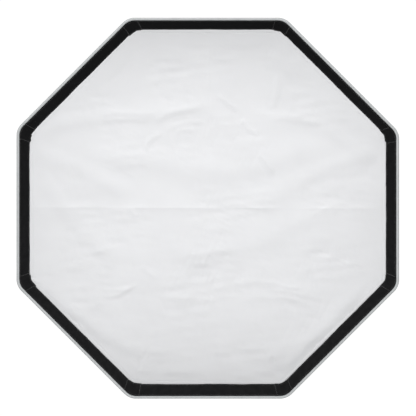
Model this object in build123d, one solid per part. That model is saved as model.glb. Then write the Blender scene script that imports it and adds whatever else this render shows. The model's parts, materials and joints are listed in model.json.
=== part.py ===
# Octagonal studio softbox with a folding eight-rib frame on a rotating bayonet speedring.
# Millimetres. +Z is up and the light leaves along -Y. The origin is the centre of the seat on
# the bayonet ring, the face that meets the lamp head. Rib 1 stands 22.5 degrees above +X and
# the others follow counter-clockwise as seen from the front.
import os
from math import atan2, cos, degrees, radians, sin, tan

from build123d import *

os.makedirs("parts", exist_ok=True)

# Overall shape
rib_count = 8
sector = 360.0 / rib_count
half_sector = sector / 2
across_flats = 950.0
outline_corner_r = 38.0
clear = 0.3  # between cloth pieces that move apart

# Folding frame
pivot_r = 80.0
pivot_y = -15.0
tip_r = 500.0
tip_y = -350.0
rib_angle = degrees(atan2(tip_r - pivot_r, pivot_y - tip_y))  # from the optical axis
rod_r = 2.25
rod_start = 14.0
rod_end = 514.0
cap_r = 4.2
cap_start = 500.0
cap_end = 522.0
socket_eye_r = 7.0
socket_width = 10.0
socket_arm_r = 5.5
socket_length = 48.0
pin_r = 2.0
pin_length = 24.0
pin_play = 0.05

# Canopy, measured on its outer face
canopy_over_rod = 8.0
canopy_start = 28.0
cloth = 1.2
piping_r = 4.0
piping_q = across_flats / 2 - piping_r
tape_outer = (467.2, -351.5)
tape_inner = (441.5, -344.0)
tape_thickness = 1.5
cuff_rear = (95.2, -12.0)
cuff_front = (97.6, -24.5)
cuff_thickness = 1.2

# Diffusers
front_q = 441.0
front_y = -345.4
sheet = 0.8
hem_outer_q = 436.0
hem_width = 25.0
hem_thickness = 1.4
inner_q = 263.0
inner_y = -200.4
tab_width = 20.0
tab_inner_r = 268.0
tab_outer_r = 303.0
tab_thickness = 1.2

# Speedring
ring_r = 92.0
ring_front = -26.0
ring_rear = -0.5
lip_r = 58.5
lip_front = -3.7
pocket_r = 64.4
pocket_front = -8.2
counterbore_r = 70.0
slot_width = 12.0
slot_inner_r = 72.5
slot_floor = -6.0
retainer_r = 69.8
retainer_inner_r = 52.0
retainer_rear = -8.3
retainer_front = -12.0
screw_circle_r = 67.0
screw_r = 1.5
screw_head_r = 2.8
screw_head = 2.0
screw_end = -4.2

# Bayonet ring
bore_r = 44.0
collar_r = 49.0
collar_top = 14.0
lug_r = 53.0
lug_height = 3.5
lug_width = 26.0
seat_r = 58.0
rim_r = 64.0
rim_front = -8.0
rim_rear = -4.0

# Thumb screws
thumb_y = -5.6
thumb_hole_r = 2.5
thumb_play = 0.05
thumb_tip = 64.6
thumb_collar_start = 94.0
thumb_collar_r = 5.0
knob_start = 99.0
knob_end = 113.0
knob_r = 9.0
knob_flutes = 12
knob_flute_r = 1.3

BOTTOM = (Align.CENTER, Align.CENTER, Align.MIN)


def save(name, *solids):
    """Write one sub-part, its solids kept separate."""
    found = [s for shape in solids for s in shape.solids()]
    whole = found[0] if len(found) == 1 else Compound(found)
    export_step(whole, f"parts/{name}.step")


def turned(shape, azimuth):
    """Turn a shape about the optical axis, counter-clockwise as seen from the front."""
    return Rot(0, -azimuth, 0) * shape


def disc(radius, front, rear):
    """Round plate about the optical axis, from its front face to its rear face."""
    base = Plane(origin=(0, front, 0), x_dir=(1, 0, 0), z_dir=(0, 1, 0))
    return base * Cylinder(radius, rear - front, align=BOTTOM)


def ring(outer, inner, front, rear):
    return disc(outer, front, rear) - disc(inner, front - 1, rear + 1)


def octagon(flat, corner, front, rear):
    """Eight-sided plate with flats at the top, bottom and sides."""
    base = Plane(origin=(0, rear, 0), x_dir=(1, 0, 0), z_dir=(0, -1, 0))
    outline = RegularPolygon(flat, rib_count, major_radius=False, rotation=half_sector)
    outline = fillet(outline.vertices(), corner)
    return base * extrude(outline, rear - front)


def rod_between(radius, start, end):
    """Round bar along rib 0's line, from one distance from the pivot to another."""
    slope = radians(rib_angle)
    along = (sin(slope), -cos(slope), 0)
    foot = (pivot_r + start * along[0], pivot_y + start * along[1], 0)
    return Plane(origin=foot, z_dir=along) * Cylinder(radius, end - start, align=BOTTOM)


def canopy_flat(distance):
    """Middle of a gore's outer face, level with this distance along the rib."""
    slope = radians(rib_angle)
    r = pivot_r + canopy_over_rod * cos(slope) + distance * sin(slope)
    y = pivot_y + canopy_over_rod * sin(slope) - distance * cos(slope)
    return r * cos(radians(half_sector)), y


def rim_distance():
    """Distance along the rib at which the canopy's outer face reaches the piping's centre."""
    start_q = canopy_flat(0)[0]
    per_mm = canopy_flat(1)[0] - start_q
    return (piping_q - start_q) / per_mm


def strip(first, second, thickness):
    """Flat strip seen edge on between two (distance, y) points, as wide as a whole sector.

    Its thickness lies to the right on the way from the first point to the second.
    """
    dq = second[0] - first[0]
    dy = second[1] - first[1]
    length = (dq * dq + dy * dy) ** 0.5
    shift = (dy / length * thickness, -dq / length * thickness)
    corners = [
        first,
        second,
        (second[0] + shift[0], second[1] + shift[1]),
        (first[0] + shift[0], first[1] + shift[1]),
    ]
    face = make_face(Polyline(*corners, close=True))
    return extrude(face, across_flats / 2)


def half_gore_space():
    """Space between the middle of flat 0 and rib 1, a hair clear of both planes."""
    far = across_flats
    face = make_face(
        Polyline((0, 0), (far, 0), (far, far * tan(radians(half_sector))), close=True)
    )
    wedge = Plane(origin=(0, 10, 0), x_dir=(1, 0, 0), z_dir=(0, -1, 0)) * extrude(face, 400)
    middle = radians(half_sector / 2)
    back_off = clear / 2 / sin(middle)
    return Pos(back_off * cos(middle), 0, back_off * sin(middle)) * wedge


def make_bayonet_ring():
    body = disc(collar_r, -1, collar_top)
    body += disc(seat_r, rim_front, 0)
    body += disc(rim_r, rim_front, rim_rear)
    lug_plate = disc(lug_r, collar_top - lug_height, collar_top)
    for k in range(3):
        block = Pos(lug_r - 4, collar_top - lug_height / 2, 0) * Box(12, lug_height, lug_width)
        body += turned(block & lug_plate, 90 + 120 * k)
    body -= disc(bore_r, rim_front - 1, collar_top + 1)
    save("bayonet_ring", body)


def rib_slots():
    """The eight slots that the rib sockets swing in."""
    length = 40.0
    depth = slot_floor - ring_front + 2
    block = Box(length, depth, slot_width)
    block = Pos(slot_inner_r + length / 2, slot_floor - depth / 2, 0) * block
    return [turned(block, half_sector + sector * k) for k in range(rib_count)]


def pivot_pin(radius, length):
    return Pos(pivot_r, pivot_y, 0) * Cylinder(radius, length)


def retainer_screw_azimuths():
    return [sector * k for k in range(1, rib_count, 2)]


def screw_shank():
    base = Plane(
        origin=(screw_circle_r, retainer_front, 0), x_dir=(1, 0, 0), z_dir=(0, 1, 0)
    )
    return base * Cylinder(screw_r, screw_end - retainer_front, align=BOTTOM)


def thumb_bar(radius, start, end):
    """Round bar along +X at the height of the thumb screws."""
    base = Plane(origin=(start, thumb_y, 0), x_dir=(0, 1, 0), z_dir=(1, 0, 0))
    return base * Cylinder(radius, end - start, align=BOTTOM)


def make_speedring():
    body = disc(ring_r, ring_front, ring_rear)
    body = chamfer(body.edges().filter_by(GeomType.CIRCLE), 1.2)
    body -= disc(lip_r, lip_front - 1, ring_rear + 1)
    body -= disc(pocket_r, pocket_front - 1, lip_front)
    body -= disc(counterbore_r, ring_front - 1, pocket_front)
    for slot in rib_slots():
        body -= slot
    for k in range(rib_count):
        body -= turned(pivot_pin(pin_r, pin_length), half_sector + sector * k)
    for azimuth in retainer_screw_azimuths():
        body -= turned(screw_shank(), azimuth)
    for azimuth in (0, 180):
        body -= turned(thumb_bar(thumb_hole_r, pocket_r - 2, ring_r + 1), azimuth)
    save("speedring_body", body)


def make_retainer():
    plate = ring(retainer_r, retainer_inner_r, retainer_front, retainer_rear)
    shanks = [turned(screw_shank(), a) for a in retainer_screw_azimuths()]
    for shank in shanks:
        plate -= shank
    save("retainer_ring", plate)
    base = Plane(
        origin=(screw_circle_r, retainer_front - screw_head, 0),
        x_dir=(1, 0, 0),
        z_dir=(0, 1, 0),
    )
    head = base * Cylinder(screw_head_r, screw_head, align=BOTTOM)
    socket = base * RegularPolygon(1.3, 6)
    head -= extrude(socket, 1.2)
    screws = [shank + turned(head, a) for shank, a in zip(shanks, retainer_screw_azimuths())]
    save("retainer_screws", *screws)


def make_pivot_pins():
    pins = [
        turned(pivot_pin(pin_r, pin_length), half_sector + sector * k) for k in range(rib_count)
    ]
    save("rib_pivot_pins", *pins)


def make_thumb_screws():
    screw = thumb_bar(thumb_hole_r - thumb_play, thumb_tip, thumb_collar_start)
    screw += thumb_bar(thumb_collar_r, thumb_collar_start, knob_start)
    knob = thumb_bar(knob_r, knob_start, knob_end)
    knob = chamfer(knob.edges().filter_by(GeomType.CIRCLE), 1.0)
    flute = thumb_bar(knob_flute_r, knob_start - 1, knob_end + 1)
    for k in range(knob_flutes):
        turn = radians(360 / knob_flutes * k)
        knob -= Pos(0, knob_r * cos(turn), knob_r * sin(turn)) * flute
    screw += knob
    for k in range(2):
        save(f"thumb_screw_{k + 1}", turned(screw, 180 * k))


def make_ribs():
    socket = pivot_pin(socket_eye_r, socket_width)
    socket += rod_between(socket_arm_r, 0, socket_length)
    socket -= pivot_pin(pin_r + pin_play, slot_width)
    socket -= rod_between(rod_r, rod_start, socket_length + 1)
    rod = rod_between(rod_r, rod_start, rod_end)
    cap = rod_between(cap_r, cap_start, cap_end)
    cap = fillet(cap.edges().filter_by(GeomType.CIRCLE), 1.5)
    cap -= rod_between(rod_r, cap_start - 1, rod_end)
    for k in range(rib_count):
        azimuth = half_sector + sector * k
        save(f"rib_socket_{k + 1}", turned(socket, azimuth))
        save(f"rib_rod_{k + 1}", turned(rod, azimuth), turned(cap, azimuth))


def piping_loop():
    """The piping as one loop round the front rim, with rounded corners."""
    rim_y = canopy_flat(rim_distance())[1]
    edge = octagon(piping_q, outline_corner_r, rim_y, rim_y + 1)
    path = edge.faces().sort_by(Axis.Y)[0].outer_wire()
    start = Plane(origin=path @ 0, z_dir=path % 0)
    return sweep(start * Circle(piping_r), path=path)


def make_canopy():
    space = half_gore_space()
    outline = octagon(piping_q - 3.6, outline_corner_r, -400, 0)
    rear_edge = canopy_flat(canopy_start)
    front_edge = canopy_flat(rim_distance() - piping_r - 0.6)
    panel = strip(front_edge, rear_edge, -cloth) & outline & space
    tape = strip(tape_outer, tape_inner, -tape_thickness) & outline & space
    piping = piping_loop() & space
    for k in range(rib_count):
        for side in ("cw", "ccw"):
            pieces = [panel, tape, piping]
            azimuth = sector * k
            if side == "ccw":
                pieces = [mirror(p, about=Plane.XY) for p in pieces]
                azimuth += sector
            cloth_half, tape_half, piping_half = [turned(p, azimuth) for p in pieces]
            save(f"canopy_{k + 1}_{side}", cloth_half)
            save(f"lip_{k + 1}_{side}", tape_half, piping_half)


def make_cuff():
    rear_q, rear_y = cuff_rear
    front_q_cuff, front_y_cuff = cuff_front
    shells = []
    for inset in (0, cuff_thickness):
        faces = []
        for q, y in ((rear_q, rear_y), (front_q_cuff, front_y_cuff)):
            base = Plane(origin=(0, y, 0), x_dir=(1, 0, 0), z_dir=(0, -1, 0))
            outline = RegularPolygon(
                q - inset, rib_count, major_radius=False, rotation=half_sector
            )
            faces.append(base * fillet(outline.vertices(), 8 - inset))
        shells.append(loft(faces, ruled=True))
    save("rear_cuff", shells[0] - shells[1])


def make_diffusers():
    save("front_diffuser", octagon(front_q, 6, front_y, front_y + sheet))
    hem_front = front_y + sheet
    hem = octagon(hem_outer_q, 5, hem_front, hem_front + hem_thickness)
    hem -= octagon(hem_outer_q - hem_width, 3, hem_front - 1, hem_front + hem_thickness + 1)
    save("front_diffuser_hem", hem)
    save("inner_diffuser", octagon(inner_q, 10, inner_y, inner_y + sheet))
    tab = Box(tab_outer_r - tab_inner_r, tab_thickness, tab_width)
    tab = Pos((tab_outer_r + tab_inner_r) / 2, inner_y - tab_thickness / 2, 0) * tab
    tabs = [turned(tab, half_sector + sector * k) for k in range(rib_count)]
    save("inner_diffuser_tabs", *tabs)


make_bayonet_ring()
make_speedring()
make_retainer()
make_pivot_pins()
make_thumb_screws()
make_ribs()
make_canopy()
make_cuff()
make_diffusers()
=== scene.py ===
"""Looks of the folding octagonal softbox: cloth, tapes, piping, metal and light round the CAD part."""
import json
from math import atan2, cos, hypot, pi, sin, sqrt, tan

import bpy
import numpy as np
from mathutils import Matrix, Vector


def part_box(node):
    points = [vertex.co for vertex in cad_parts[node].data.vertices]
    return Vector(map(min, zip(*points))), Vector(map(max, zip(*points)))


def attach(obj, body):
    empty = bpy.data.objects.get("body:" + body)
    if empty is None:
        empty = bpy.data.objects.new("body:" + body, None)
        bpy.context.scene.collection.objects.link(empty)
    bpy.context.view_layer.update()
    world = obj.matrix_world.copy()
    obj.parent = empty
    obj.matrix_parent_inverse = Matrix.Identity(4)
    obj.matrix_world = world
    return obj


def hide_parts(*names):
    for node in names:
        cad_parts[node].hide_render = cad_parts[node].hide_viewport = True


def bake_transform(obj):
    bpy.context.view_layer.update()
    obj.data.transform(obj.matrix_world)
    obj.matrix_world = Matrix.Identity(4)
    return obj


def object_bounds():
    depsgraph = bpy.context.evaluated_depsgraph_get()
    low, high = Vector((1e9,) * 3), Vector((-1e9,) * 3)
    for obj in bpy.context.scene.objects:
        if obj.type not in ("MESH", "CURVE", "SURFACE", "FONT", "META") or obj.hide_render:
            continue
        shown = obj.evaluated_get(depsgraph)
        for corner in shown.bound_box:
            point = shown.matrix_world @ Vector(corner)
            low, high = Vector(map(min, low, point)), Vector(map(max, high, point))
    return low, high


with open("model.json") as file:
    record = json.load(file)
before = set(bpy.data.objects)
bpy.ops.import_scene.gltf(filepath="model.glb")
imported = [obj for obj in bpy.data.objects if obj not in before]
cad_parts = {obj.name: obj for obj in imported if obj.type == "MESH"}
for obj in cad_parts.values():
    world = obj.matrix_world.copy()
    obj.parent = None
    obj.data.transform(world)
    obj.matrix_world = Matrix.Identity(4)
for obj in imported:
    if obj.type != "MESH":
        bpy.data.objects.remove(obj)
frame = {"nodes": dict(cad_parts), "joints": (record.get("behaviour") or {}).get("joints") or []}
CAD_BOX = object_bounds()

RIBS = 8
HALF = pi / RIBS  # half a sector
JOINTS = {j["name"]: j for j in frame["joints"]}

# Fold line of the canopy over rib 1: where it starts and how it runs, in its own radial plane
FOLD_POINT = Vector(JOINTS["pleat_1_cw_fold"]["pos_m"])
FOLD_DIR = Vector(JOINTS["pleat_1_cw_fold"]["axis"])
LINE_R = hypot(FOLD_POINT.x, FOLD_POINT.z)
LINE_Y = FOLD_POINT.y
SLOPE = atan2(hypot(FOLD_DIR.x, FOLD_DIR.z), -FOLD_DIR.y)

# A q is a distance from the optical axis to a flat of the octagon, an r a radius, and an s a distance
# along the fold line
OUT_Q = CAD_BOX[1].x  # over the piping
PIPE_R = 0.004
PIPE_Q = OUT_Q - PIPE_R
TAPE_OUT_Q, TAPE_OUT_Y = 0.4672, -0.3515  # the lip tape's outer edge, as in CAD
TAPE_IN_Q, TAPE_IN_Y = 0.4415, -0.3440  # and its inner edge
OUTLINE_R = 0.038  # the outline's rounded corners
THROAT_S = 0.028  # where the canopy starts, at the cuff
RIM_S = (PIPE_Q / cos(HALF) - LINE_R) / sin(SLOPE)
RIM_Y = LINE_Y - RIM_S * cos(SLOPE)

# The sewn outline isn't a perfect octagon: how far each flat stands out, from +X counter-clockwise
OUTER_SLACK = [0.0016, -0.0037, -0.0004, 0.0019, 0.0017, -0.0007, -0.0003, 0.0002]
INNER_SLACK = [0.0023, -0.0004, 0.0036, 0.0018, 0.0025, -0.0001, -0.0033, -0.0006]


# ---------------------------------------------------------------- small helpers
def azimuth_of(rib):
    return HALF + 2 * HALF * (rib - 1)


def sign_of(side):
    return -1 if side == "cw" else 1


def middle_of(rib, side):
    """Azimuth of the middle of the flat on that side of the rib."""
    return azimuth_of(rib) + sign_of(side) * HALF


def radial(a):
    return np.array([cos(a), 0.0, sin(a)])


def tangent(a):
    return np.array([-sin(a), 0.0, cos(a)])


AXIS = np.array([0.0, 1.0, 0.0])


def ripple(p, wavelength, seed):
    """Smooth random relief of about unit height at points p, the same on every run."""
    waves = 14
    rng = np.random.default_rng(seed)
    p = np.asarray(p, float)
    total = np.zeros(p.shape[:-1])
    for _ in range(waves):
        d = rng.normal(size=p.shape[-1])
        d *= 2 * pi / (np.linalg.norm(d) * wavelength * rng.uniform(0.65, 1.6))
        total += np.sin(p @ d + rng.uniform(0, 2 * pi))
    return total * sqrt(2 / waves) * 0.7


def smooth_step(x):
    x = np.clip(x, 0, 1)
    return x * x * (3 - 2 * x)


def grid_faces(rows, cols, start=0, wrap=False, flip=False):
    faces = []
    for r in range(rows - 1):
        for c in range(cols if wrap else cols - 1):
            d = (c + 1) % cols
            quad = (
                start + r * cols + c,
                start + r * cols + d,
                start + (r + 1) * cols + d,
                start + (r + 1) * cols + c,
            )
            faces.append(quad[::-1] if flip else quad)
    return faces


def arc_length(points):
    """How far along a line of points each of them lies."""
    return np.concatenate([[0], np.cumsum(np.linalg.norm(np.diff(points, axis=0), axis=1))])


def direction(points):
    """Unit direction of a line of points at each of them."""
    along = np.gradient(points, axis=0)
    return along / np.linalg.norm(along, axis=1, keepdims=True)


def add_object(name, data):
    obj = bpy.data.objects.new(name, data)
    bpy.context.scene.collection.objects.link(obj)
    return obj


def make_piece(name, verts, faces, material, uv):
    """A smooth-shaded mesh object with one material, its UVs in metres."""
    mesh = bpy.data.meshes.new(name)
    mesh.from_pydata([tuple(map(float, v)) for v in verts], [], faces)
    obj = add_object(name, mesh)
    mesh.materials.append(material)
    mesh.polygons.foreach_set("use_smooth", [True] * len(mesh.polygons))
    layer = mesh.uv_layers.new(name="cloth")
    loops = np.zeros(len(mesh.loops), np.int32)
    mesh.loops.foreach_get("vertex_index", loops)
    layer.data.foreach_set("uv", np.asarray(uv, np.float32)[loops].ravel())
    mesh.update()
    return obj


def outward_normals(grid):
    """Unit normals of a grid of points, rows by columns, from its own slopes."""
    du = np.gradient(grid, axis=1)
    dv = np.gradient(grid, axis=0)
    n = np.cross(du, dv)
    return n / np.maximum(np.linalg.norm(n, axis=-1, keepdims=True), 1e-12)


def border_walls(rows, cols, start):
    """Quads that join the border of a grid of points at start to the same grid after it."""
    count = rows * cols
    edge = [(0, c) for c in range(cols)] + [(r, cols - 1) for r in range(1, rows)]
    edge += [(rows - 1, c) for c in range(cols - 2, -1, -1)]
    edge += [(r, 0) for r in range(rows - 2, 0, -1)]
    ids = [start + r * cols + c for r, c in edge]
    return [(b, a, a + count, b + count) for a, b in zip(ids, ids[1:] + ids[:1])]


def thin_solid(name, grid, normals, thickness, material, uv):
    """A closed sheet: the grid is its outer face and its thickness lies against the normals."""
    rows, cols = grid.shape[:2]
    count = rows * cols
    verts = np.vstack([grid.reshape(-1, 3), (grid - normals * thickness).reshape(-1, 3)])
    faces = grid_faces(rows, cols) + grid_faces(rows, cols, start=count, flip=True)
    walls_from = len(faces)
    faces += border_walls(rows, cols, 0)
    both = np.vstack([uv.reshape(-1, 2)] * 2)
    obj = make_piece(name, verts, faces, material, uv=both)
    crisp_border(obj, walls_from)
    return obj


def crisp_border(obj, walls_from):
    """Keeps the rim walls of a thin solid out of the shading of its two faces."""
    mesh = obj.data
    wall_edges = {}
    for poly in mesh.polygons[walls_from:]:
        for key in poly.edge_keys:
            wall_edges[key] = wall_edges.get(key, 0) + 1
    for edge in mesh.edges:
        key = tuple(sorted(edge.vertices))
        if wall_edges.get(key) == 1:
            edge.use_edge_sharp = True


def cord(name, path, radius, material):
    """A round cord along a path that stays at one depth."""
    out = np.cross(direction(path), AXIS)
    turns = np.linspace(0, 2 * pi, 16, endpoint=False)
    profile = radius * np.stack([np.cos(turns), np.sin(turns)], -1)
    verts = path[:, None] + out[:, None] * profile[None, :, :1] + AXIS * profile[None, :, 1:]
    n, m = verts.shape[:2]
    faces = grid_faces(n, m, wrap=True)
    faces.append(tuple(range(m))[::-1])
    faces.append(tuple((n - 1) * m + c for c in range(m)))
    uv = np.stack(np.meshgrid(arc_length(path), arc_length(profile), indexing="ij"), -1)
    uv = uv.reshape(-1, 2)
    obj = make_piece(name, verts.reshape(-1, 3), faces, material, uv=uv)
    crisp_border(obj, len(faces) - 2)
    return obj


# ---------------------------------------------------------------- the octagon with rounded corners
def corner_shifts(slack):
    """Where each corner moves when the flats beside it stand out by their slack."""
    shifts = []
    for rib in range(1, RIBS + 1):
        before, after = 2 * HALF * (rib - 1), 2 * HALF * rib
        a = np.array([[cos(before), sin(before)], [cos(after), sin(after)]])
        x, z = np.linalg.solve(a, [slack[(rib - 1) % RIBS], slack[rib % RIBS]])
        shifts.append(np.array([x, 0.0, z]))
    return shifts


OUTER_SHIFT = corner_shifts(OUTER_SLACK)
INNER_SHIFT = corner_shifts(INNER_SLACK)


def half_side(q, r, v):
    """Half of one rounded side: distance out and along, from its middle (v 0) to its corner (v 1)."""
    q, r, v = np.broadcast_arrays(*map(np.asarray, (q, r, v)))
    straight = (q - r) * tan(HALF)
    x = v * (straight + r * HALF)
    turn = np.clip((x - straight) / np.maximum(r, 1e-9), 0, HALF)
    out = q - r * (1 - np.cos(turn))
    along = np.minimum(x, straight) + r * np.sin(turn)
    return out, along


def on_side(rib, side, q, r, v, y, shifts, share=1.0):
    """Points on the half side of rib's cw or ccw neighbour flat. share scales the outline's slack."""
    sign = sign_of(side)
    m = middle_of(rib, side)
    out, along = half_side(q, r, v)
    here = shifts[rib - 1]
    other = shifts[(rib - 1 + sign) % RIBS]
    w = (along / (np.asarray(q) * tan(HALF)))[..., None]
    shift = (here + other) / 2 * (1 - w) + here * w
    y = np.broadcast_to(y, out.shape)
    p = out[..., None] * radial(m) - sign * along[..., None] * tangent(m) + y[..., None] * AXIS
    return p + shift * np.broadcast_to(share, out.shape)[..., None]


def side_samples(flat=22, arc=9, share=0.9):
    """Sampling from the middle of a side to its corner, closer together round the corner."""
    return np.concatenate([np.linspace(0, share, flat)[:-1], np.linspace(share, 1, arc)])


def crowded_samples():
    """As side_samples, but closer together towards the middle of the side, where the folds run."""
    flat, arc, share, crowd = 24, 8, 0.93, 0.35
    t = np.linspace(0, 1, flat)[:-1]
    return np.concatenate([share * (crowd * t + (1 - crowd) * t * t), np.linspace(share, 1, arc)])


HALVES = [(rib, side) for rib in range(1, RIBS + 1) for side in ("cw", "ccw")]


def pleat(rib, side):
    return f"pleat_{rib}_{side}"


def bend_into_pleat(obj):
    """Bakes the piece's placement into its mesh; it isn't bound to its rib or pleat."""
    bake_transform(obj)


# ---------------------------------------------------------------- materials
def new_material(name):
    m = bpy.data.materials.new(name)
    m.use_nodes = True
    return m, m.node_tree, m.node_tree.nodes["Principled BSDF"]


def settings(n, values):
    """Sets a node's inputs, or its own properties where it has no input of that name."""
    for k, v in values.items():
        if k in n.inputs:
            n.inputs[k].default_value = v
        else:
            setattr(n, k, v)


def node(nt, kind, **values):
    n = nt.nodes.new(kind)
    settings(n, values)
    return n


def coords(nt, use="UV", scale=(1, 1, 1)):
    tc = nt.nodes.new("ShaderNodeTexCoord")
    mp = node(nt, "ShaderNodeMapping", Scale=scale)
    nt.links.new(tc.outputs[use], mp.inputs["Vector"])
    return mp.outputs["Vector"]


def mixed_colour(nt, factor, a, b):
    mix = node(nt, "ShaderNodeMix", data_type="RGBA")
    nt.links.new(factor, mix.inputs["Factor"])
    mix.inputs["A"].default_value = (*a, 1)
    mix.inputs["B"].default_value = (*b, 1)
    return mix.outputs["Result"]


def ramp(nt, value, low, high, to_min=0.0, to_max=1.0, smooth=False):
    r = node(nt, "ShaderNodeMapRange", interpolation_type="SMOOTHSTEP" if smooth else "LINEAR")
    settings(r, {"From Min": low, "From Max": high, "To Min": to_min, "To Max": to_max})
    nt.links.new(value, r.inputs["Value"])
    return r.outputs["Result"]


def maths(nt, op, a, b=None):
    n = nt.nodes.new("ShaderNodeMath")
    n.operation = op
    for k, x in enumerate((a, b)):
        if x is None:
            continue
        if isinstance(x, (int, float)):
            n.inputs[k].default_value = x
        else:
            nt.links.new(x, n.inputs[k])
    return n.outputs[0]


def weighted(nt, *parts):
    """The sum of some values, each times its weight."""
    total = None
    for value, weight in parts:
        part = value if weight == 1 else maths(nt, "MULTIPLY", value, weight)
        total = part if total is None else maths(nt, "ADD", total, part)
    return total


def bump(nt, bsdf, height, strength, distance):
    b = node(nt, "ShaderNodeBump", Strength=strength, Distance=distance)
    nt.links.new(height, b.inputs["Height"])
    nt.links.new(b.outputs["Normal"], bsdf.inputs["Normal"])


def noise_of(nt, vector, scale, detail=3.0, roughness=0.55):
    n = node(nt, "ShaderNodeTexNoise", Scale=scale, Detail=detail, Roughness=roughness)
    nt.links.new(vector, n.inputs["Vector"])
    return n.outputs["Fac"]


def bands(nt, vector, fineness, direction):
    """Stripes across one direction, fineness / pi of them to the metre."""
    w = node(nt, "ShaderNodeTexWave", Scale=fineness / 10, bands_direction=direction)
    nt.links.new(vector, w.inputs["Vector"])
    return w.outputs["Fac"]


def scaled_colour(nt, bsdf, tone):
    """Multiplies the base colour by a tone."""
    colour = bsdf.inputs["Base Color"].links[0].from_socket
    dim = node(nt, "ShaderNodeVectorMath", operation="SCALE")
    nt.links.new(colour, dim.inputs[0])
    nt.links.new(tone, dim.inputs["Scale"])
    nt.links.new(dim.outputs["Vector"], bsdf.inputs["Base Color"])


def woven(name, dark, light, fineness, rough, sheen, depth, mottling=40.0, wear=0.35):
    """Plain-woven cloth with its UVs in metres: stripes each way, and a colour that drifts a little."""
    m, nt, bsdf = new_material(name)
    uv = coords(nt)
    weave = maths(nt, "MAXIMUM", bands(nt, uv, fineness, "X"), bands(nt, uv, fineness, "Y"))
    drift = noise_of(nt, uv, mottling)
    slub = noise_of(nt, coords(nt, scale=(fineness * 0.02, fineness * 0.4, 1)), 1.0, 2.0)
    tone = ramp(nt, weighted(nt, (weave, wear), (drift, 0.6), (slub, 0.2)), 0.25, 0.95)
    nt.links.new(mixed_colour(nt, tone, dark, light), bsdf.inputs["Base Color"])
    settings(bsdf, {"Roughness": rough, "Sheen Weight": sheen, "Sheen Roughness": 0.45})
    bump(nt, bsdf, weighted(nt, (weave, 1), (slub, 0.5)), 0.5, depth)
    return m


def shade_towards_rim(material):
    """Painted shade: the cloth's colour is made a little darker where it nears the black lip, most of
    all at the top and bottom.
    """
    nt = material.node_tree
    to_edge = 2.27  # makes the distance to the tape 1
    sep = nt.nodes.new("ShaderNodeSeparateXYZ")
    nt.links.new(coords(nt), sep.inputs["Vector"])
    up = sep.outputs["Y"]
    high = maths(nt, "ABSOLUTE", up)
    wide = maths(nt, "ABSOLUTE", sep.outputs["X"])
    tall_share = maths(nt, "POWER", maths(nt, "MULTIPLY", high, to_edge), 3.6)
    wide_share = maths(nt, "POWER", maths(nt, "MULTIPLY", wide, to_edge), 3.0)
    lower_half = ramp(nt, up, 0.02, -0.26, smooth=True)
    top_edges = ramp(nt, weighted(nt, (up, 1), (wide, 0.5)), 0.30, 0.45, smooth=True)
    # painted shade: how much the cloth's colour is darkened towards the tape, in the lower half and at
    # the upper corners
    painted_shade = weighted(
        nt, (tall_share, 0.21), (wide_share, 0.09), (lower_half, 0.015), (top_edges, 0.035)
    )
    scaled_colour(nt, nt.nodes["Principled BSDF"], maths(nt, "SUBTRACT", 1.0, painted_shade))


def paint_shade_turned_away(material, least):
    """Painted shade on round cord: its colour is made greyer where its cover curves away from the
    viewer, down to its least tone.
    """
    nt = material.node_tree
    facing = nt.nodes.new("ShaderNodeLayerWeight").outputs["Facing"]
    # painted shade: the colour greys as the surface turns from the viewer
    turned = maths(nt, "MULTIPLY", maths(nt, "POWER", facing, 1.3), 1 - least)
    scaled_colour(nt, nt.nodes["Principled BSDF"], maths(nt, "SUBTRACT", 1.0, turned))


def pile(name, dark, light):
    """The matt looped pile of a hook-and-loop tape."""
    m, nt, bsdf = new_material(name)
    uv = coords(nt)
    fuzz = noise_of(nt, uv, 900.0, 4.0, 0.7)
    rows = bands(nt, uv, 700.0, "Y")
    drift = noise_of(nt, uv, 60.0)
    tone = ramp(nt, weighted(nt, (fuzz, 0.7), (drift, 0.5)), 0.35, 0.85)
    sep = nt.nodes.new("ShaderNodeSeparateXYZ")
    nt.links.new(coords(nt, "Object"), sep.inputs["Vector"])
    # the pile looks paler lower down, where it faces the floor's light
    height_share = ramp(nt, sep.outputs["Z"], 0.40, -0.25)
    lit = maths(nt, "ADD", maths(nt, "MULTIPLY", height_share, 0.8), 0.2)
    tone = maths(nt, "MULTIPLY", tone, lit)
    nt.links.new(mixed_colour(nt, tone, dark, light), bsdf.inputs["Base Color"])
    settings(bsdf, {"Roughness": 0.95, "Specular IOR Level": 0.12})
    settings(bsdf, {"Sheen Weight": 0.03, "Sheen Roughness": 0.6})
    bump(nt, bsdf, weighted(nt, (fuzz, 1), (rows, 0.25)), 0.8, 0.0006)
    return m


def hard(name, base, worn, rough, metallic, grain, depth):
    """Machined or moulded surface: fine grain, a drifting tone and slightly paler handled edges."""
    m, nt, bsdf = new_material(name)
    at = coords(nt, "Object")
    fine = noise_of(nt, at, grain, 4.0, 0.6)
    broad = noise_of(nt, at, 25.0)
    geo = nt.nodes.new("ShaderNodeNewGeometry")
    edges = ramp(nt, geo.outputs["Pointiness"], 0.51, 0.60)
    wear = maths(nt, "MULTIPLY", edges, maths(nt, "MULTIPLY", broad, 0.7))
    tone = weighted(nt, (wear, 1), (fine, 0.15))
    tone.node.use_clamp = True
    nt.links.new(mixed_colour(nt, tone, base, worn), bsdf.inputs["Base Color"])
    spread = 0.14  # the roughness goes this far from its least to its most
    grainy = maths(nt, "ADD", maths(nt, "MULTIPLY", fine, spread), rough - spread / 2)
    nt.links.new(grainy, bsdf.inputs["Roughness"])
    settings(bsdf, {"Metallic": metallic})
    bump(nt, bsdf, fine, 0.35, depth)
    return m


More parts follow.
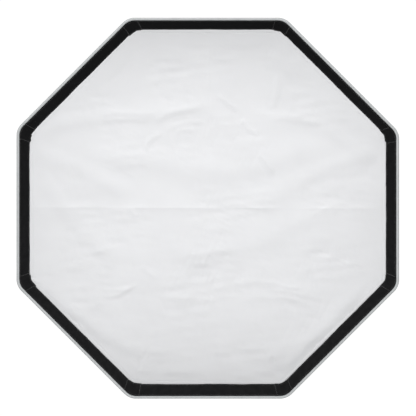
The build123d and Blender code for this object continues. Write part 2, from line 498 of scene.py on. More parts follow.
# Cloth: darkest and lightest colour, fineness, roughness, sheen, depth of the weave, then mottling and
# wear where they differ. Hard: base and worn colour, roughness, metallic, grain, depth of the grain
SHELL = woven("canopy_shell", (0.006, 0.006, 0.007), (0.020, 0.020, 0.021), 1500, 0.62, 0.25, 0.0002)
LINING = woven("canopy_lining", (0.50, 0.51, 0.53), (0.72, 0.73, 0.75), 900, 0.34, 0.0, 0.0002)
settings(LINING.node_tree.nodes["Principled BSDF"], {"Metallic": 0.55})
WHITES = (0.78, 0.785, 0.80), (0.84, 0.845, 0.86)
DIFFUSION = woven("diffuser_cloth", *WHITES, 1600, 0.9, 0.0, 0.00012, 12.0, 0.2)
INNER_DIFFUSION = woven("inner_diffuser_cloth", *WHITES, 1600, 0.9, 0.0, 0.00012, 12.0, 0.2)
# painted shade on the front diffuser's cloth, towards the lip
shade_towards_rim(DIFFUSION)
PIPING = woven("piping_cloth", (0.42, 0.44, 0.445), (0.57, 0.585, 0.59), 1000, 0.85, 0.0, 0.0003, 90.0)
# painted shade on the piping where it turns from the viewer
paint_shade_turned_away(PIPING, 0.48)
TAPE = pile("loop_tape", (0.0012, 0.0013, 0.0016), (0.0145, 0.0145, 0.0155))
WHITE_TAPE = pile("hook_tape", (0.56, 0.56, 0.57), (0.74, 0.74, 0.75))
BINDING = woven("rib_binding", (0.010, 0.010, 0.011), (0.034, 0.034, 0.035), 700, 0.75, 0.2, 0.0003)
ELASTIC = woven("elastic_webbing", (0.62, 0.62, 0.62), (0.80, 0.80, 0.80), 600, 0.8, 0.1, 0.0004)
BLACK_THREAD = woven("black_thread", (0.015, 0.015, 0.016), (0.06, 0.06, 0.06), 3000, 0.7, 0.3, 0.0001)
POCKET_THREAD = woven("pocket_thread", (0.05, 0.05, 0.052), (0.12, 0.12, 0.12), 3000, 0.7, 0.3, 0.0001)
WHITE_THREAD = woven("white_thread", (0.62, 0.62, 0.63), (0.80, 0.80, 0.81), 3000, 0.7, 0.3, 0.0001)
ANODISED = hard("black_anodised", (0.014, 0.014, 0.015), (0.10, 0.10, 0.105), 0.42, 0.55, 900, 0.00006)
ALLOY = hard("bead_blasted_alloy", (0.50, 0.51, 0.52), (0.78, 0.79, 0.80), 0.36, 0.95, 1400, 0.00008)
ZINC = hard("zinc_plated_steel", (0.42, 0.42, 0.43), (0.70, 0.70, 0.70), 0.30, 1.0, 700, 0.00004)
SPRING_STEEL = hard("drawn_steel_rod", (0.20, 0.20, 0.21), (0.48, 0.48, 0.48), 0.34, 1.0, 500, 0.00004)
NYLON = hard("moulded_nylon", (0.012, 0.012, 0.013), (0.060, 0.060, 0.062), 0.52, 0.0, 1800, 0.00008)
KNOB = hard("knob_plastic", (0.010, 0.010, 0.011), (0.055, 0.055, 0.058), 0.46, 0.0, 2400, 0.0001)


def paint_cad():
    """Gives the CAD nodes that show as they are their materials."""
    plan = {
        "bayonet_ring": ALLOY,
        "speedring_body": ANODISED,
        "retainer_ring": ANODISED,
        "retainer_screws": ZINC,
        "rib_pivot_pins": ZINC,
        "thumb_screw_1": KNOB,
        "thumb_screw_2": KNOB,
    }
    for rib in range(1, RIBS + 1):
        plan[f"rib_rod_{rib}"] = SPRING_STEEL
        plan[f"rib_socket_{rib}"] = NYLON
    for name, material in plan.items():
        materials = frame["nodes"][name].data.materials
        materials.clear()
        materials.append(material)


# ---------------------------------------------------------------- canopy
RIM_HEM = 0.0046  # the canopy's cloth ends this far short of the rim, under the piping
SAG = 0.009  # how far the middle of a gore sinks between its ribs
THROAT_CORNER = 0.010  # the gores' rounded corners at the cuff


def canopy_corner(share):
    """Radius of the canopy's corners, by the share of the way from the cuff to the rim."""
    return THROAT_CORNER + (OUTLINE_R - THROAT_CORNER) * share**1.5


def gore_section(s):
    """Distance from the axis to a gore's flat, depth, and share of the way from cuff to rim, at s."""
    q = (LINE_R + s * sin(SLOPE)) * cos(HALF)
    return q, LINE_Y - s * cos(SLOPE), (s - THROAT_S) / (RIM_S - THROAT_S)


def canopy_grid(rib, side, inset):
    """One half-gore from the cuff to the rim: rows run along the rib, columns from middle to corner."""
    s = np.linspace(THROAT_S, RIM_S - RIM_HEM, 64)[:, None]
    v = side_samples()[None, :]
    q, y, share = gore_section(s)
    flat = on_side(rib, side, q, canopy_corner(share), v, y, OUTER_SHIFT, share=share**3)
    down = np.array([sin(SLOPE) * cos(HALF), -cos(SLOPE)])
    down /= np.linalg.norm(down)
    outward = -down[1] * radial(middle_of(rib, side)) + down[0] * AXIS
    across = np.cos(pi / 2 * np.clip(v, 0, 1)) + 0 * s
    sag = SAG * np.sin(pi * share**0.8) * across
    gather = 0.0011 * np.exp(-(s - THROAT_S) / 0.035) * np.cos(2 * pi * 5 * v) * (1 - share)
    drag = 0.0016 * ripple(flat, 0.16, 5) * np.sin(pi * share) * (0.25 + 0.75 * across)
    fine = 0.0005 * ripple(flat * [1, 0.45, 1], 0.045, 6) * np.sin(pi * share)
    rim_pull = 0.0010 * np.exp((s - RIM_S) / 0.03) * np.cos(2 * pi * 7 * v) * (1 - v) * 0.7
    push = -sag + gather + drag + fine + rim_pull - inset
    grid = flat + push[..., None] * outward
    run = s + 0 * v
    wide = v * q * tan(HALF)
    return grid, outward, np.stack([run, wide], -1)


def make_canopy():
    for rib, side in HALVES:
        for name, inset, thick, material, slot in (
            ("canopy_shell", 0.0, 0.0006, SHELL, "canopy_cloth"),
            ("canopy_lining", 0.0014, 0.0004, LINING, "lining_cloth"),
        ):
            grid, outward, uv = canopy_grid(rib, side, inset)
            if side == "ccw":
                grid, uv = grid[:, ::-1], uv[:, ::-1]
            normals = outward_normals(grid)
            if (normals * outward).sum(-1).mean() < 0:
                grid, uv = grid[::-1], uv[::-1]
                normals = outward_normals(grid)
            obj = thin_solid(f"{name}_{rib}_{side}", grid, normals, thick, material, uv)
            bend_into_pleat(obj)
            if name == "canopy_shell":
                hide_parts(f"canopy_{rib}_{side}")


def make_rib_bindings():
    """Grosgrain sewn over each rib seam, widening into the pocket that holds the rod's tip."""
    half_width, pocket_extra, pocket_length, thickness = 0.006, 0.010, 0.075, 0.0008
    s = np.linspace(THROAT_S + 0.002, RIM_S - 0.010, 90)
    q, y, share = gore_section(s)
    half = half_width + pocket_extra * smooth_step((s - (RIM_S - pocket_length)) / 0.02)
    cols = np.linspace(-1, 1, 13)
    r = canopy_corner(share)
    length = (q - r) * tan(HALF) + r * HALF
    for rib in range(1, RIBS + 1):
        grid = np.zeros((len(s), len(cols), 3))
        uv = np.zeros((len(s), len(cols), 2))
        for side in ("cw", "ccw"):
            normal = radial(middle_of(rib, side)) * cos(SLOPE) + AXIS * sin(SLOPE)
            for k, c in enumerate(cols):
                if c * sign_of(side) < 0:
                    continue
                v = 1 - abs(c) * half / length
                p = on_side(rib, side, q, r, v, y, OUTER_SHIFT, share=share**3)
                crown = 0.0011 - 0.0005 * abs(c) ** 4
                lift = crown + 0.00015 * np.sin(s * 2 * pi / 0.004) * (abs(c) > 0.7)
                grid[:, k] = p + lift[:, None] * normal
                uv[:, k, 0], uv[:, k, 1] = s, c * half
        normals = outward_normals(grid)
        up = radial(azimuth_of(rib)) * cos(SLOPE) + AXIS * sin(SLOPE)
        if (normals * up).sum(-1).mean() < 0:
            grid, uv = grid[:, ::-1], uv[:, ::-1]
            normals = outward_normals(grid)
        obj = thin_solid(f"rib_binding_{rib}", grid, normals, thickness, BINDING, uv)
        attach(obj, f"rib_{rib}")


# ---------------------------------------------------------------- lip: tape, piping, thread
TAPE_TILT = (0.28, 0.96)  # which way the tape's face looks: outward and to the front
TAPE_OUTER_CORNER, TAPE_INNER_CORNER = 0.036, 0.032
TAPE_WIDTH = 0.0267  # along its face
SEAM_AWAY = 0.024  # the tip pocket's seams cross the tape this far either side of each corner
SEAM_LEAN = 0.32  # and lean this much towards it, from the inner edge outward
# How much each tip pocket's patch widens the tape, and the length over which it does
POCKET = np.random.default_rng(77).uniform([0.0010, 0.0012], [0.0036, 0.0034], size=(2 * RIBS, 2))


def from_middle(p, rib, side):
    """How far points lie along their flat, from its middle towards the rib's corner."""
    return -sign_of(side) * (p @ tangent(middle_of(rib, side)))


def pocket_bulge(p, rib, side):
    """How far the tip pocket's patch widens the tape inward, with a step at the pocket's seam."""
    grow, step = POCKET[HALVES.index((rib, side))]
    start = TAPE_IN_Q * tan(HALF) - SEAM_AWAY + 0.006
    return grow * smooth_step((from_middle(p, rib, side) - start) / step)


def seam_relief(p, rib, side):
    """Raised fold of the tip pocket's seam across the tape, leaning towards the corner."""
    out = p @ radial(middle_of(rib, side))
    line = PIPE_Q * tan(HALF) - SEAM_AWAY - (PIPE_Q - out) * SEAM_LEAN
    near = from_middle(p, rib, side) - line
    ridge = 0.0009 * np.exp(-((near / 0.0014) ** 2))
    ditch = -0.0005 * np.exp(-(((near + 0.0034) / 0.0012) ** 2))
    return ridge + ditch


def tape_section(across):
    """Distance to the flat, depth and corner radius, that share of the way from the piping inward."""
    q = TAPE_OUT_Q + (TAPE_IN_Q - TAPE_OUT_Q) * across
    y = TAPE_OUT_Y + (TAPE_IN_Y - TAPE_OUT_Y) * across
    r = TAPE_OUTER_CORNER + (TAPE_INNER_CORNER - TAPE_OUTER_CORNER) * across
    return q, y, r


def lip_surface(rib, side, v, across, lift, crowned=True):
    """Points on the tape: v from the middle of a side to its corner, across from the piping inward."""
    out = radial(middle_of(rib, side))
    v, across = np.broadcast_arrays(np.asarray(v, float), np.asarray(across, float))
    q, y, r = tape_section(across)
    outer = on_side(rib, side, q, r, v, y, OUTER_SHIFT)
    inner = on_side(rib, side, q, r, v, y, INNER_SHIFT)
    w = across[:, None]
    p = outer * (1 - w) + inner * w
    wave = 0.0005 * ripple(p[:, [0, 2]], 0.11, 11) + 0.0002 * ripple(p[:, [0, 2]], 0.03, 12)
    p = p - ((wave + pocket_bulge(p, rib, side)) * across**2)[:, None] * out
    height = np.full(len(p), float(lift))
    if crowned:
        height += 0.0005 * ripple(p[:, [0, 2]], 0.035, 13) * np.sin(pi * across)
        height += seam_relief(p, rib, side)
    return p - height[:, None] * (TAPE_TILT[0] * out + TAPE_TILT[1] * AXIS)


def make_lip():
    v = side_samples(70, 26, 0.88)
    # tape: front face from the piping to the inner edge, then back along its underside
    cross = [(0.0, -0.0010), (0.0, -0.0002), (0.03, 0.0), (0.25, 0.0002), (0.5, 0.0003)]
    cross += [(0.75, 0.0002), (0.97, 0.0), (1.0, -0.0004), (1.0, -0.0009), (0.96, -0.0012)]
    cross += [(0.5, -0.0012), (0.04, -0.0012)]
    for rib, side in HALVES:
        body = pleat(rib, side)
        rings = np.array(
            [lip_surface(rib, side, v, across, lift, lift >= -0.0003) for across, lift in cross]
        )
        count, length = rings.shape[:2]
        verts = rings.transpose(1, 0, 2).reshape(-1, 3)
        faces = grid_faces(length, count, wrap=True, flip=side == "cw")
        caps = [tuple(range(count)), tuple((length - 1) * count + c for c in range(count))[::-1]]
        faces += [c[::-1] if side == "cw" else c for c in caps]
        uv = np.zeros((length, count, 2))
        uv[..., 0] = (v * PIPE_Q * tan(HALF))[:, None]
        uv[..., 1] = np.array([c[0] for c in cross])[None, :] * TAPE_WIDTH
        uv = uv.reshape(-1, 2)
        tape = make_piece(f"lip_tape_{rib}_{side}", verts, faces, TAPE, uv=uv)
        crisp_border(tape, len(faces) - 2)
        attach(tape, body)
        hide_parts(f"lip_{rib}_{side}")
        # piping: a soft cord in a woven cover
        path = on_side(rib, side, PIPE_Q, OUTLINE_R, v, RIM_Y, OUTER_SHIFT)
        piping = cord(f"piping_{rib}_{side}", path, PIPE_R, PIPING)
        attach(piping, body)


def stitch_row(name, points, up, pitch, length, radius, material, body):
    """A run of raised stitches along a line, on a face that looks along up."""
    run = arc_length(points)
    count = int(run[-1] / pitch)
    stations = np.array([-0.5, -0.36, 0.0, 0.36, 0.5]) * length
    sizes = radius * np.array([0.35, 0.85, 1.0, 0.85, 0.35])
    rises = radius * np.array([-0.6, 0.2, 0.55, 0.2, -0.6])
    sides = 6
    last = (len(stations) - 1) * sides
    verts, faces = [], []
    for k in range(count):
        ts = (k + 0.5) * run[-1] / count + stations
        at = np.stack([np.interp(ts, run, points[:, c]) for c in range(3)], -1)
        start = len(verts)
        for p, beside, size, rise in zip(at, np.cross(direction(at), up), sizes, rises):
            for t in (2 * pi * j / sides for j in range(sides)):
                verts.append(p + up * (rise + size * sin(t)) + beside * size * cos(t))
        faces += grid_faces(len(stations), sides, start=start, wrap=True)
        faces.append(tuple(start + j for j in range(sides))[::-1])
        faces.append(tuple(start + last + j for j in range(sides)))
    uv = np.array([[v[0] + v[1], v[2]] for v in verts])
    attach(make_piece(name, verts, faces, material, uv=uv), body)


def make_lip_thread():
    v = side_samples(60, 20, 0.88)
    for rib, side in HALVES:
        m = middle_of(rib, side)
        body = pleat(rib, side)
        up = -TAPE_TILT[0] * radial(m) - TAPE_TILT[1] * AXIS
        for name, across in (("outer", 0.09), ("inner", 0.90)):
            line = lip_surface(rib, side, v, across, 0.0001)
            stitch_row(
                f"lip_thread_{name}_{rib}_{side}", line, up, 0.0034, 0.0026, 0.00032,
                BLACK_THREAD, body,
            )
        # the tip pocket's seam, just on the corner side of its fold
        across = np.linspace(0.05, 0.97, 14)
        q, _, r = tape_section(across)
        along = PIPE_Q * tan(HALF) - SEAM_AWAY - (PIPE_Q - q) * SEAM_LEAN + 0.0026
        seam = lip_surface(rib, side, along / ((q - r) * tan(HALF) + r * HALF), across, 0.0003)
        stitch_row(
            f"pocket_thread_{rib}_{side}", seam, up, 0.0032, 0.0026, 0.00036,
            POCKET_THREAD, body,
        )


# ---------------------------------------------------------------- diffusers
def octagon_rim(q, r, slack_shift, samples):
    """Points right round a rounded octagon, from the flat on the cw side of rib 1, at y 0."""
    points = []
    for rib in range(1, RIBS + 1):
        left = on_side(rib, "cw", q, r, samples, 0.0, slack_shift)
        right = on_side(rib, "ccw", q, r, samples, 0.0, slack_shift)[::-1]
        points.append(np.vstack([left[:-1], right[:-1]]))
    return np.vstack(points)


def fold(x, z, start, end, height, reach, seed):
    """A pressed fold between two points: a sharp ridge that dies away over its reach."""
    (x0, z0), (x1, z1) = start, end
    d = np.array([x1 - x0, z1 - z0])
    length = np.linalg.norm(d)
    d /= length
    t = ((x - x0) * d[0] + (z - z0) * d[1]) / length
    at = np.stack([x, z], -1)
    off = -(x - x0) * d[1] + (z - z0) * d[0] + 0.0006 * ripple(at, 0.08, seed)
    ends = smooth_step(t / 0.1 + 0.5) * smooth_step((1 - t) / 0.1 + 0.5)
    strength = 0.75 + 0.35 * ripple(at, 0.12, seed + 100)
    return height * ends * strength * np.exp(-np.sqrt(off**2 + 0.0007**2) / reach)


def crease(x, z, route, height, width, seed):
    """A soft ridge along a smooth line through the route's points, fading at its ends."""
    last = len(route) - 1
    steps = np.linspace(0, last, 8 * last + 1)
    fits = [np.polyfit(np.arange(last + 1), c, last) for c in np.array(route).T]
    line = np.stack([np.polyval(fit, steps) for fit in fits], -1)
    at = np.stack([x, z], -1)
    x = x + 0.3 * width * ripple(at, 10 * width, seed)
    z = z + 0.3 * width * ripple(at, 10 * width, seed + 50)
    away = np.full(x.shape, np.inf)
    along = np.zeros(x.shape)
    for k in range(len(line) - 1):
        a, d = line[k], line[k + 1] - line[k]
        share = np.clip(((x - a[0]) * d[0] + (z - a[1]) * d[1]) / (d @ d), 0, 1)
        here = np.hypot(x - a[0] - share * d[0], z - a[1] - share * d[1])
        along = np.where(here < away, (k + share) / (len(line) - 1), along)
        away = np.minimum(away, here)
    ends = smooth_step(along / 0.25) * smooth_step((1 - along) / 0.25)
    return height * ends * np.exp(-((away / width) ** 2))


# Broad folds that the pull of the corners draws across the cloth: height, width, and the route from
# left to right, in x and z
SWAGS = [
    (0.0038, 0.020, [(-0.450, 0.155), (-0.300, 0.090), (-0.175, 0.020)]),
    (0.0037, 0.024, [(0.060, 0.030), (0.200, 0.052), (0.340, 0.115), (0.450, 0.160)]),
    (0.0039, 0.026, [(-0.440, 0.165), (-0.200, 0.120), (0.020, 0.108), (0.200, 0.130), (0.440, 0.180)]),
    (0.0034, 0.020, [(-0.450, 0.150), (-0.300, 0.222), (-0.120, 0.232), (0.030, 0.285)]),
    (0.0032, 0.020, [(0.130, 0.228), (0.270, 0.215), (0.370, 0.158), (0.450, 0.145)]),
    (0.0040, 0.026, [(-0.080, -0.140), (0.100, -0.085), (0.345, 0.010)]),
    (0.0039, 0.024, [(-0.440, 0.110), (-0.370, 0.000), (-0.270, -0.090), (-0.120, -0.130)]),
    (0.0051, 0.022, [(-0.440, -0.150), (-0.330, -0.270), (-0.200, -0.345), (-0.040, -0.380)]),
    (0.0051, 0.022, [(0.060, -0.400), (0.200, -0.352), (0.310, -0.270), (0.430, -0.170)]),
    (0.0033, 0.014, [(0.080, -0.425), (0.180, -0.392), (0.280, -0.320), (0.340, -0.255)]),
    (0.0030, 0.014, [(-0.200, -0.412), (-0.110, -0.398), (0.000, -0.418)]),
]
# Short creases left by packing and handling, the same way
CRUMPLES = [
    (0.0019, 0.0060, [(-0.275, 0.232), (-0.190, 0.236), (-0.115, 0.224)]),
    (0.0016, 0.0050, [(-0.260, 0.216), (-0.195, 0.222), (-0.130, 0.214)]),
    (0.0023, 0.0060, [(-0.135, 0.214), (-0.085, 0.240), (0.004, 0.258)]),
    (0.0021, 0.0055, [(-0.105, 0.192), (-0.060, 0.212), (0.010, 0.210)]),
    (0.0030, 0.0050, [(-0.153, 0.140), (-0.146, 0.166), (-0.110, 0.188)]),
    (0.0018, 0.0050, [(-0.085, 0.184), (-0.060, 0.196), (-0.026, 0.188)]),
    (0.0032, 0.0045, [(0.022, 0.288), (0.048, 0.262), (0.080, 0.238)]),
    (0.0028, 0.0050, [(0.080, 0.222), (0.098, 0.200), (0.128, 0.180)]),
    (0.0036, 0.0045, [(0.120, 0.138), (0.148, 0.112), (0.160, 0.072)]),
    (0.0026, 0.0060, [(0.168, 0.335), (0.172, 0.285), (0.150, 0.245)]),
    (0.0018, 0.0050, [(0.110, 0.236), (0.180, 0.232), (0.265, 0.224)]),
    (0.0016, 0.0050, [(0.140, 0.218), (0.205, 0.222), (0.300, 0.204)]),
    (0.0023, 0.0060, [(-0.300, -0.200), (-0.240, -0.204), (-0.185, -0.198)]),
    (0.0027, 0.0060, [(-0.270, -0.226), (-0.215, -0.210), (-0.170, -0.186)]),
    (0.0023, 0.0060, [(-0.170, -0.140), (-0.148, -0.160), (-0.124, -0.176)]),
    (0.0027, 0.0070, [(-0.010, -0.212), (0.090, -0.184), (0.190, -0.192), (0.310, -0.216)]),
    (0.0024, 0.0055, [(0.150, -0.208), (0.220, -0.212), (0.320, -0.236)]),
    (0.0023, 0.0055, [(0.070, -0.235), (0.170, -0.222), (0.250, -0.240)]),
    (0.0023, 0.0070, [(-0.110, -0.236), (-0.040, -0.222), (0.030, -0.238)]),
    (0.0018, 0.0050, [(-0.196, 0.002), (-0.188, -0.012), (-0.172, -0.024)]),
    (0.0015, 0.0060, [(0.258, -0.020), (0.290, -0.002), (0.335, 0.012)]),
    (0.0027, 0.0060, [(-0.180, -0.398), (-0.130, -0.412), (-0.060, -0.404)]),
]


def front_relief(x, z):
    """How far the front diffuser stands out towards the viewer: billow, packing creases, wrinkles."""
    at = np.stack([x, z], -1)
    rho = np.sqrt(x * x + z * z) / TAPE_IN_Q
    h = 0.0040 * (1 - smooth_step(rho))
    h += 0.0012 * ripple(at, 0.24, 21)
    h += 0.0008 * ripple(at * [0.8, 1.3], 0.11, 22)
    # the small wrinkles gather in patches, more of them in the lower half
    patch = np.clip(0.35 + ripple(at, 0.20, 23), 0, 1) + 0.45 * smooth_step(-z / 0.15)
    h += 0.0006 * ripple(at * [0.7, 1.6], 0.042, 24) * patch
    h -= 0.0007 * np.abs(ripple(at, 0.080, 26)) * patch
    h += 0.0003 * ripple(at, 0.019, 25) * patch
    # the packing folds have a sharp top, so one side catches the light and the other doesn't
    h += fold(x, z, (-0.44, 0.002), (0.44, -0.001), 0.0030, 0.011, 31)
    h += fold(x, z, (0.006, 0.05), (0.004, 0.43), 0.0010, 0.010, 33)
    for k, (height, width, route) in enumerate(SWAGS + CRUMPLES):
        h += crease(x, z, route, height, width, 60 + k)
    return h


FRONT_Q = TAPE_IN_Q + 0.0035  # the cloth runs on a little way under the tape
FRONT_CORNER = 0.022  # its rounded corners
HEM_LINE = 0.0105  # the hem's stitches, in from its edge


def tucked(rim):
    """How much further the tip pockets cover each point of an octagon_rim than the plain tape does."""
    parts = np.split(rim, len(HALVES))
    return np.concatenate([pocket_bulge(p, *half) for p, half in zip(parts, HALVES)])


def front_cloth_y(x, z, edge, under):
    """Where the cloth's front face lies: edge is the distance to its rim, under how far it's tucked."""
    h = front_relief(x, z) * smooth_step((edge - under) / 0.03)
    # over the hem tape the cloth can't sink back
    h = np.maximum(h, -0.0003 - 0.006 * smooth_step((edge - 0.034) / 0.05))
    h += 0.0034 * smooth_step(0.25 + (edge - under) / 0.0085)
    # the hem's stitches draw it in, and it puckers beside them
    h -= 0.0005 * np.exp(-(((edge - HEM_LINE) / 0.0011) ** 2))
    pucker = 0.00035 * ripple(np.stack([x, z], -1), 0.012, 27)
    h += pucker * np.exp(-(((edge - HEM_LINE) / 0.008) ** 2))
    return TAPE_IN_Y + 0.0026 - h


def round_cloth(name, middle_y, grid, material):
    """A diffuser's cloth from its rings of points and the height of its middle."""
    rings, count = grid.shape[:2]
    verts = np.vstack([[[0.0, middle_y, 0.0]], grid.reshape(-1, 3)])
    faces = [(0, 1 + c, 1 + (c + 1) % count) for c in range(count)]
    faces += grid_faces(rings, count, start=1, wrap=True, flip=True)
    obj = make_piece(name, verts, faces, material, uv=verts[:, [0, 2]])
    solid = obj.modifiers.new("thickness", "SOLIDIFY")
    solid.thickness = 0.0005
    solid.offset = -1
    return obj


def make_front_diffuser():
    rim = octagon_rim(FRONT_Q, FRONT_CORNER, INNER_SHIFT, crowded_samples())
    near_edge = 1 - 0.018 / TAPE_IN_Q
    share = np.concatenate([np.linspace(0, near_edge, 85)[1:-1], np.linspace(near_edge, 1, 17)])
    grid = share[:, None, None] * rim[None]
    # distance to the edge, for the roll under the tape and the hem's stitched line
    edge = (1 - share)[:, None] * np.linalg.norm(rim, axis=1)[None, :] * cos(HALF)
    grid[..., 1] = front_cloth_y(grid[..., 0], grid[..., 2], edge, tucked(rim)[None])
    middle_y = front_cloth_y(np.zeros(1), np.zeros(1), np.full(1, TAPE_IN_Q), 0.0)[0]
    obj = round_cloth("front_diffuser_cloth", middle_y, grid, DIFFUSION)
    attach(obj, "front_diffuser")
    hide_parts("front_diffuser")
    line = octagon_rim(FRONT_Q - HEM_LINE, FRONT_CORNER, INNER_SHIFT, side_samples(60, 14, 0.9))
    line[:, 1] = front_cloth_y(line[:, 0], line[:, 2], HEM_LINE, tucked(line)) - 0.0001
    stitch_row(
        "front_diffuser_thread", np.vstack([line, line[:1]]), -AXIS, 0.0040, 0.0029, 0.00034,
        WHITE_THREAD, "front_diffuser",
    )


def flat_band(name, q_out, q_in, r, y_front, thickness, shift, material, body, seed):
    """A flat tape sewn round an octagon, slightly uneven, as a closed loop."""
    around = side_samples(24, 7, 0.93)
    cross = [(0.0, 0.0), (0.06, 1.0), (0.5, 1.08), (0.94, 1.0), (1.0, 0.0), (0.5, -0.02)]
    rings = []
    for across, up in cross:
        q = q_out + (q_in - q_out) * across
        p = octagon_rim(q, max(r * (1 - 0.4 * across), 0.004), shift, around)
        p[:, 1] = y_front + thickness - thickness * up
        p[:, 1] += 0.0002 * ripple(p[:, [0, 2]], 0.03, seed)
        rings.append(p)
    rings = np.array(rings).transpose(1, 0, 2)
    n, m = rings.shape[:2]
    verts = rings.reshape(-1, 3)
    faces = grid_faces(n, m, wrap=True)
    faces += [((n - 1) * m + c, (n - 1) * m + (c + 1) % m, (c + 1) % m, c) for c in range(m)]
    uv = np.zeros((n, m, 2))
    uv[..., 0] = np.linspace(0, 16 * q_out * tan(HALF), n)[:, None]
    uv[..., 1] = np.array([c[0] for c in cross])[None] * (q_out - q_in)
    obj = make_piece(name, verts, faces, material, uv=uv.reshape(-1, 2))
    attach(obj, body)
    return obj


def make_front_hem():
    lo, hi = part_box("front_diffuser_hem")
    obj = flat_band(
        "front_diffuser_hem_tape", q_out=hi.x, q_in=hi.x - 0.025, r=0.012, y_front=lo.y + 0.0016,
        thickness=0.0012, shift=INNER_SHIFT, material=WHITE_TAPE, body="front_diffuser", seed=41,
    )
    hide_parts("front_diffuser_hem")


NO_SHIFT = [np.zeros(3)] * RIBS
TAB_FROM, TAB_TO, TAB_LOOP = 0.268, 0.303, 0.295  # radii where the tabs start, end and form a loop


def make_inner_diffuser():
    lo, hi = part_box("inner_diffuser")
    q = hi.x
    rim = octagon_rim(q, 0.010, NO_SHIFT, side_samples(20, 6, 0.93))
    share = np.linspace(0, 1, 71)[1:]
    grid = share[:, None, None] * rim[None]
    # the edge pulls in a little between the tabs
    angle = np.arctan2(grid[..., 2], grid[..., 0])
    pull = 1 - 0.012 * share[:, None] ** 4 * np.cos(RIBS * angle)
    grid *= pull[..., None]
    x, z = grid[..., 0], grid[..., 2]
    at = np.stack([x, z], -1)
    h = 0.0018 * ripple(at, 0.20, 51) + 0.0005 * ripple(at, 0.06, 52)
    h += 0.0008 * np.cos(16 * angle) * share[:, None] ** 3
    h += crease(x, z, [(-0.25, 0.0), (0.25, 0.0)], 0.0012, 0.004, 53)
    h += crease(x, z, [(0.0, -0.25), (0.0, 0.25)], 0.0010, 0.004, 54)
    h *= smooth_step((1 - share[:, None]) / 0.04)
    grid[..., 1] = lo.y - h
    obj = round_cloth("inner_diffuser_cloth", grid[0, :, 1].mean(), grid, INNER_DIFFUSION)
    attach(obj, "inner_diffuser")
    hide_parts("inner_diffuser")


def make_tabs():
    """Elastic straps from the inner diffuser's corners out to the ribs, and its bound edge."""
    y_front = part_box("inner_diffuser_tabs")[0].y
    r, w = np.meshgrid(np.linspace(TAB_FROM, TAB_TO, 18), np.linspace(-1, 1, 9), indexing="ij")
    across = w * (0.010 - 0.0012 * np.sin(pi * (r - TAB_FROM) / (TAB_TO - TAB_FROM)))
    top = y_front - 0.0001 + 0.0003 * np.sin(r * 2 * pi / 0.0035) * (np.abs(w) < 0.8)
    loop_end = 0.0010 * smooth_step((r - TAB_LOOP) / 0.006)
    rows, cols = r.shape
    verts, faces, uvs = [], [], []
    for rib in range(1, RIBS + 1):
        a = azimuth_of(rib)
        p = r[..., None] * radial(a) + across[..., None] * tangent(a)
        front = p + (top - loop_end)[..., None] * AXIS
        back = p + (top + 0.0010 + loop_end * 0.3)[..., None] * AXIS
        start = len(verts)
        verts += list(front.reshape(-1, 3)) + list(back.reshape(-1, 3))
        faces += grid_faces(rows, cols, start=start)
        faces += grid_faces(rows, cols, start=start + rows * cols, flip=True)
        faces += border_walls(rows, cols, start)
        uvs += list(np.stack([r, across], -1).reshape(-1, 2)) * 2
    obj = make_piece("inner_diffuser_straps", verts, faces, ELASTIC, uv=uvs)
    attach(obj, "inner_diffuser")
    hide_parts("inner_diffuser_tabs")
    flat_band(
        "inner_diffuser_binding", q_out=0.2640, q_in=0.2560, r=0.011, y_front=-0.2012,
        thickness=0.0010, shift=NO_SHIFT, material=ELASTIC, body="inner_diffuser", seed=57,
    )


# ---------------------------------------------------------------- cuff
def make_cuff():
    """Gathered collar between the speedring and the canopy, with its elastic casing at the back."""
    lo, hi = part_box("rear_cuff")
    q_front, y_front, y_rear = hi.x - 0.0003, lo.y, hi.y
    ring_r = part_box("speedring_body")[1].x
    rear_r = ring_r + 0.0032
    turns = np.linspace(0, 2 * pi, 640, endpoint=False)
    off = np.abs((turns / (2 * HALF) + 0.5) % 1 - 0.5) * 2 * HALF  # angle to the nearest flat's middle
    octagon = np.minimum(q_front / np.cos(off), q_front / cos(HALF) * 0.995)
    gathers = 0.0007 * np.sin(turns * 96) + 0.0004 * np.sin(turns * 57 + 1.3)
    rows = 16
    grid = np.zeros((rows, len(turns), 3))
    for k in range(rows):
        t = k / (rows - 1)
        casing = 0.0011 * np.exp(-(((t - 0.16) / 0.10) ** 2))
        groove = 0.0010 * np.exp(-(((t - 0.38) / 0.07) ** 2))
        base = rear_r * (1 - t) + octagon * t
        radius = base + gathers * (0.35 + 0.65 * np.sin(pi * t)) + (casing - groove)
        y = np.full_like(turns, y_rear + (y_front - y_rear) * t)
        grid[k] = np.stack([radius * np.cos(turns), y, radius * np.sin(turns)], -1)
    inner = grid.copy()
    inner[..., [0, 2]] *= 1 - 0.0008 / np.linalg.norm(grid[..., [0, 2]], axis=-1, keepdims=True)
    n = len(turns)
    loop = np.vstack([grid.reshape(-1, 3), inner[::-1].reshape(-1, 3)])
    faces = grid_faces(2 * rows, n, wrap=True, flip=True)
    last = (2 * rows - 1) * n
    faces += [(last + (c + 1) % n, last + c, c, (c + 1) % n) for c in range(n)]
    uv = np.zeros((2 * rows, n, 2))
    uv[..., 0] = turns[None] * ring_r
    uv[..., 1] = np.linspace(0, 0.03, 2 * rows)[:, None]
    uv = uv.reshape(-1, 2)
    obj = make_piece("rear_cuff_cloth", loop, faces, SHELL, uv=uv)
    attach(obj, "hub")
    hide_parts("rear_cuff")


# ---------------------------------------------------------------- stage, light, camera
VIEW_WIDTH = 1.0357  # what the picture spans at the lip
CAMERA_AWAY = 6.0
SENSOR_WIDTH = 36.0
FLOOR_R, FLOOR_Z = 6.0, -1.25


def make_camera():
    data = bpy.data.cameras.new("camera")
    cam = add_object("camera", data)
    cam.location = (0.0004, CAD_BOX[0].y - CAMERA_AWAY, 0.0005)
    cam.rotation_euler = (pi / 2, 0, 0)
    data.sensor_width = SENSOR_WIDTH
    data.lens = SENSOR_WIDTH * CAMERA_AWAY / VIEW_WIDTH
    data.clip_end = 100.0
    bpy.context.scene.camera = cam


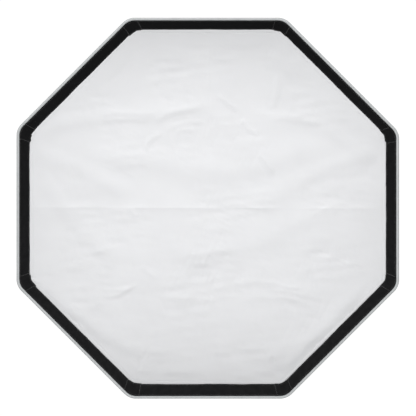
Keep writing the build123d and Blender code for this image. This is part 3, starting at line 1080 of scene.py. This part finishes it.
def area_light(name, place, aim, size, size_y, watts):
    data = bpy.data.lights.new(name, "AREA")
    data.shape = "RECTANGLE"
    data.size, data.size_y = size, size_y
    data.energy = watts
    obj = add_object(name, data)
    obj.location = place
    obj.rotation_euler = (Vector(aim) - Vector(place)).to_track_quat("-Z", "Y").to_euler()
    obj.visible_camera = False


def make_light():
    world = bpy.data.worlds.new("studio")
    bpy.context.scene.world = world
    world.use_nodes = True
    nt = world.node_tree
    back = nt.nodes["Background"]
    back.inputs["Color"].default_value = (1, 1, 1, 1)
    # the backdrop looks white, and lights the softbox less than it would
    seen = nt.nodes.new("ShaderNodeLightPath").outputs["Is Camera Ray"]
    nt.links.new(ramp(nt, seen, 0, 1, 0.28, 1.05), back.inputs["Strength"])
    front = CAD_BOX[0].y
    area_light("key", (-0.5, front - 3.1, 4.9), (0, front, 0.0), 1.1, 0.9, 256)
    area_light("rear_left", (-1.6, 1.3, 1.2), (0, -0.1, 0), 1.2, 1.2, 20)
    area_light("rear_right", (1.8, 1.1, 0.6), (0, -0.1, 0), 1.0, 1.4, 12)


def make_floor():
    """A pale round floor well below, as under a softbox on a stand."""
    m, nt, bsdf = new_material("pale_floor")
    at = coords(nt, "Object")
    pale = mixed_colour(nt, noise_of(nt, at, 3.0), (0.86, 0.86, 0.86), (0.90, 0.90, 0.90))
    nt.links.new(pale, bsdf.inputs["Base Color"])
    settings(bsdf, {"Roughness": 0.9, "Emission Color": (1, 1, 1, 1)})
    away = node(nt, "ShaderNodeVectorMath", operation="LENGTH")
    nt.links.new(at, away.inputs[0])
    glow = ramp(nt, away.outputs["Value"], 1.5, FLOOR_R * 0.95, 0.30, 0.85, smooth=True)
    nt.links.new(glow, bsdf.inputs["Emission Strength"])
    # seen from below the floor is clear, so it doesn't hide the softbox
    sided = node(nt, "ShaderNodeMixShader")
    nt.links.new(node(nt, "ShaderNodeNewGeometry").outputs["Backfacing"], sided.inputs["Fac"])
    nt.links.new(bsdf.outputs["BSDF"], sided.inputs[1])
    nt.links.new(node(nt, "ShaderNodeBsdfTransparent").outputs["BSDF"], sided.inputs[2])
    nt.links.new(sided.outputs["Shader"], nt.nodes["Material Output"].inputs["Surface"])
    n = 96
    turns = [2 * pi * k / n for k in range(n)]
    verts = [(0, 0, FLOOR_Z)] + [(FLOOR_R * cos(t), FLOOR_R * sin(t), FLOOR_Z) for t in turns]
    faces = [(0, 1 + k, 1 + (k + 1) % n) for k in range(n)]
    mesh = bpy.data.meshes.new("floor")
    mesh.from_pydata(verts, [], faces)
    mesh.materials.append(m)
    floor = add_object("floor", mesh)


bpy.context.scene.view_settings.view_transform = "Standard"
make_camera()
paint_cad()
make_front_diffuser()
make_front_hem()
make_lip()
make_lip_thread()
make_inner_diffuser()
make_tabs()
make_canopy()
make_rib_bindings()
make_cuff()
make_light()
make_floor()
